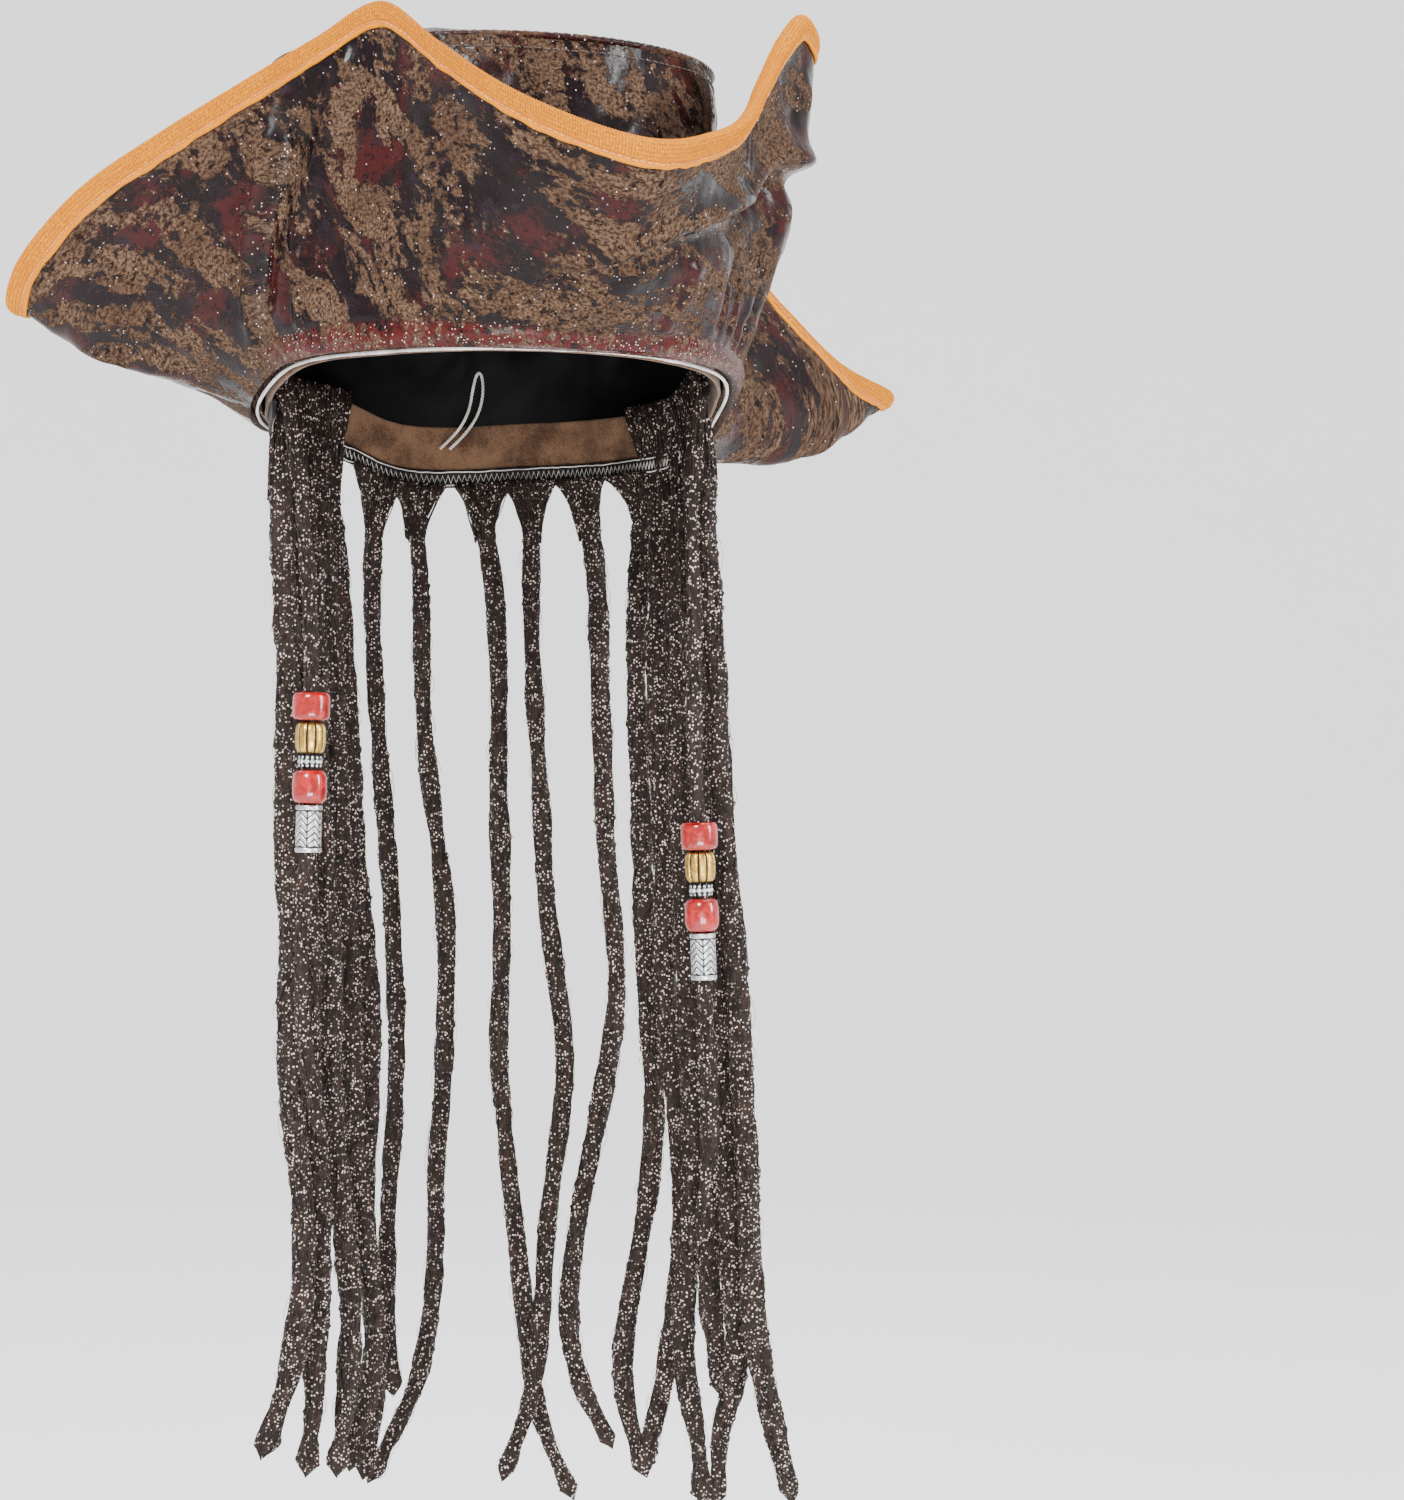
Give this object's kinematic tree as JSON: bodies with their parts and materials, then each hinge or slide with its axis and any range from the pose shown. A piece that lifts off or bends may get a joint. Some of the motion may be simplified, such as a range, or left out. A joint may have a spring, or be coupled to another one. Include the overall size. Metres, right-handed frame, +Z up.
{
  "type": "pirate hat",
  "caption": "Soft three-cornered pirate hat of distressed imitation leather with an orange bound edge, and locks of hair with beads hanging from its opening.",
  "frame": {"origin": "centre of the head opening, level with the middle of its edge", "axes": "+Z up out of the crown, the hat's front point towards -Y, the wearer's left towards +X, the locks hang along -Z"},
  "size_m": [0.3639, 0.2945, 0.5737],
  "materials": {
    "distressed_leather": "brown suede-faced imitation leather with glossy dark patches",
    "binding_knit": "orange ribbed knit tape",
    "lining_cloth": "black woven lining",
    "sweatband_suede": "brown suedette",
    "stiffener_felt": "grey felt",
    "brim_wire": "spring wire",
    "piping": "dark piping with a pale thread",
    "elastic_band": "black elastic with pale zigzag stitching",
    "hair": "matted dark brown imitation hair",
    "thread": "thread",
    "red_bead": "gloss red",
    "gold_bead": "antique brass",
    "silver_bead": "antique silver"
  },
  "bodies": {
    "root": {"crown_side_band": "distressed_leather", "crown_lining": "lining_cloth", "crown_top_panel": "distressed_leather", "crown_top_lining": "lining_cloth", "sweatband": "sweatband_suede", "brim_under_cloth": "distressed_leather", "brim_stiffener": "stiffener_felt", "brim_upper_cloth": "distressed_leather", "brim_wire": "brim_wire", "edge_binding": "binding_knit", "opening_piping": "piping", "hair_weft_band": "elastic_band", "left_root_tuft": "hair", "right_root_tuft": "hair", "rear_root_tufts": "hair", "hang_loop": "thread"},
    "rear_lock_a": {"rear_lock_a": "hair"},
    "rear_lock_b": {"rear_lock_b": "hair"},
    "rear_lock_c": {"rear_lock_c": "hair"},
    "rear_lock_d": {"rear_lock_d": "hair"},
    "rear_lock_e": {"rear_lock_e": "hair"},
    "left_bundle": {"left_lock_1": "hair", "left_lock_2": "hair", "left_lock_3": "hair", "left_lock_4": "hair", "left_lock_5": "hair"},
    "right_bundle": {"right_lock_1": "hair", "right_lock_2": "hair", "right_lock_3": "hair", "right_lock_4": "hair", "right_lock_5": "hair", "right_lock_6": "hair"},
    "left_bead_strand": {"left_bead_lock": "hair"},
    "left_red_barrel_bead": {"left_red_barrel_bead": "red_bead"},
    "left_gold_melon_bead": {"left_gold_melon_bead": "gold_bead"},
    "left_silver_spacer_ring": {"left_silver_spacer_ring": "silver_bead"},
    "left_red_round_bead": {"left_red_round_bead": "red_bead"},
    "left_silver_tube_bead": {"left_silver_tube_bead": "silver_bead"},
    "right_bead_strand": {"right_bead_lock": "hair"},
    "right_red_barrel_bead": {"right_red_barrel_bead": "red_bead"},
    "right_gold_melon_bead": {"right_gold_melon_bead": "gold_bead"},
    "right_silver_spacer_ring": {"right_silver_spacer_ring": "silver_bead"},
    "right_red_round_bead": {"right_red_round_bead": "red_bead"},
    "right_silver_tube_bead": {"right_silver_tube_bead": "silver_bead"}
  },
  "joints": [
    {"name": "rear_lock_a_swing", "type": "hinge", "parent": "root", "child": "rear_lock_a", "pos_m": [-0.021, 0.092, -0.034], "axis": [0.9749, 0.2225, 0], "range_deg": [0, 35]},
    {"name": "rear_lock_b_swing", "type": "hinge", "parent": "root", "child": "rear_lock_b", "pos_m": [-0.004, 0.095, -0.035], "axis": [0.9991, 0.0421, 0], "range_deg": [0, 35]},
    {"name": "rear_lock_c_swing", "type": "hinge", "parent": "root", "child": "rear_lock_c", "pos_m": [0.024, 0.09, -0.035], "axis": [0.9336, -0.3584, 0], "range_deg": [0, 35]},
    {"name": "rear_lock_d_swing", "type": "hinge", "parent": "root", "child": "rear_lock_d", "pos_m": [0.042, 0.083, -0.035], "axis": [0.9336, -0.3584, 0], "range_deg": [0, 35]},
    {"name": "rear_lock_e_swing", "type": "hinge", "parent": "root", "child": "rear_lock_e", "pos_m": [0.062, 0.07, -0.035], "axis": [0.7486, -0.663, 0], "range_deg": [0, 35]},
    {"name": "left_bundle_swing", "type": "hinge", "parent": "root", "child": "left_bundle", "pos_m": [-0.058, 0.055, -0.0235], "axis": [0.5299, 0.848, 0], "range_deg": [0, 35]},
    {"name": "right_bundle_swing", "type": "hinge", "parent": "root", "child": "right_bundle", "pos_m": [0.0815, 0.022, -0.023], "axis": [0.0872, -0.9962, 0], "range_deg": [0, 35]},
    {"name": "left_bead_strand_swing", "type": "hinge", "parent": "left_bundle", "child": "left_bead_strand", "pos_m": [-0.07, 0.014, -0.022], "axis": [-1, 0, 0], "range_deg": [0, 15]},
    {"name": "left_red_barrel_bead_turn", "type": "hinge", "parent": "left_bead_strand", "child": "left_red_barrel_bead", "pos_m": [-0.06567, 0.014, -0.11175], "axis": [0.022, 0, 0.9998], "continuous": true},
    {"name": "left_gold_melon_bead_turn", "type": "hinge", "parent": "left_bead_strand", "child": "left_gold_melon_bead", "pos_m": [-0.06592, 0.014, -0.12335], "axis": [0.022, 0, 0.9998], "continuous": true},
    {"name": "left_silver_spacer_ring_turn", "type": "hinge", "parent": "left_bead_strand", "child": "left_silver_spacer_ring", "pos_m": [-0.06612, 0.014, -0.13219], "axis": [0.022, 0, 0.9998], "continuous": true},
    {"name": "left_red_round_bead_turn", "type": "hinge", "parent": "left_bead_strand", "child": "left_red_round_bead", "pos_m": [-0.06632, 0.014, -0.14154], "axis": [0.022, 0, 0.9998], "continuous": true},
    {"name": "left_silver_tube_bead_turn", "type": "hinge", "parent": "left_bead_strand", "child": "left_silver_tube_bead", "pos_m": [-0.06667, 0.014, -0.15714], "axis": [0.022, 0, 0.9998], "continuous": true},
    {"name": "right_bead_strand_swing", "type": "hinge", "parent": "right_bundle", "child": "right_bead_strand", "pos_m": [0.072, -0.02, -0.02], "axis": [-1, 0, 0], "range_deg": [0, 15]},
    {"name": "right_red_barrel_bead_turn", "type": "hinge", "parent": "right_bead_strand", "child": "right_red_barrel_bead", "pos_m": [0.07529, -0.02, -0.16025], "axis": [-0.0367, 0, 0.9993], "continuous": true},
    {"name": "right_gold_melon_bead_turn", "type": "hinge", "parent": "right_bead_strand", "child": "right_gold_melon_bead", "pos_m": [0.07572, -0.02, -0.17184], "axis": [-0.0367, 0, 0.9993], "continuous": true},
    {"name": "right_silver_spacer_ring_turn", "type": "hinge", "parent": "right_bead_strand", "child": "right_silver_spacer_ring", "pos_m": [0.07604, -0.02, -0.18068], "axis": [-0.0367, 0, 0.9993], "continuous": true},
    {"name": "right_red_round_bead_turn", "type": "hinge", "parent": "right_bead_strand", "child": "right_red_round_bead", "pos_m": [0.07639, -0.02, -0.19003], "axis": [-0.0367, 0, 0.9993], "continuous": true},
    {"name": "right_silver_tube_bead_turn", "type": "hinge", "parent": "right_bead_strand", "child": "right_silver_tube_bead", "pos_m": [0.07696, -0.02, -0.20562], "axis": [-0.0367, 0, 0.9993], "continuous": true}
  ],
  "couplings": [
    {"joint": "rear_lock_d_swing", "follows": "rear_lock_c_swing", "ratio": 1}
  ]
}
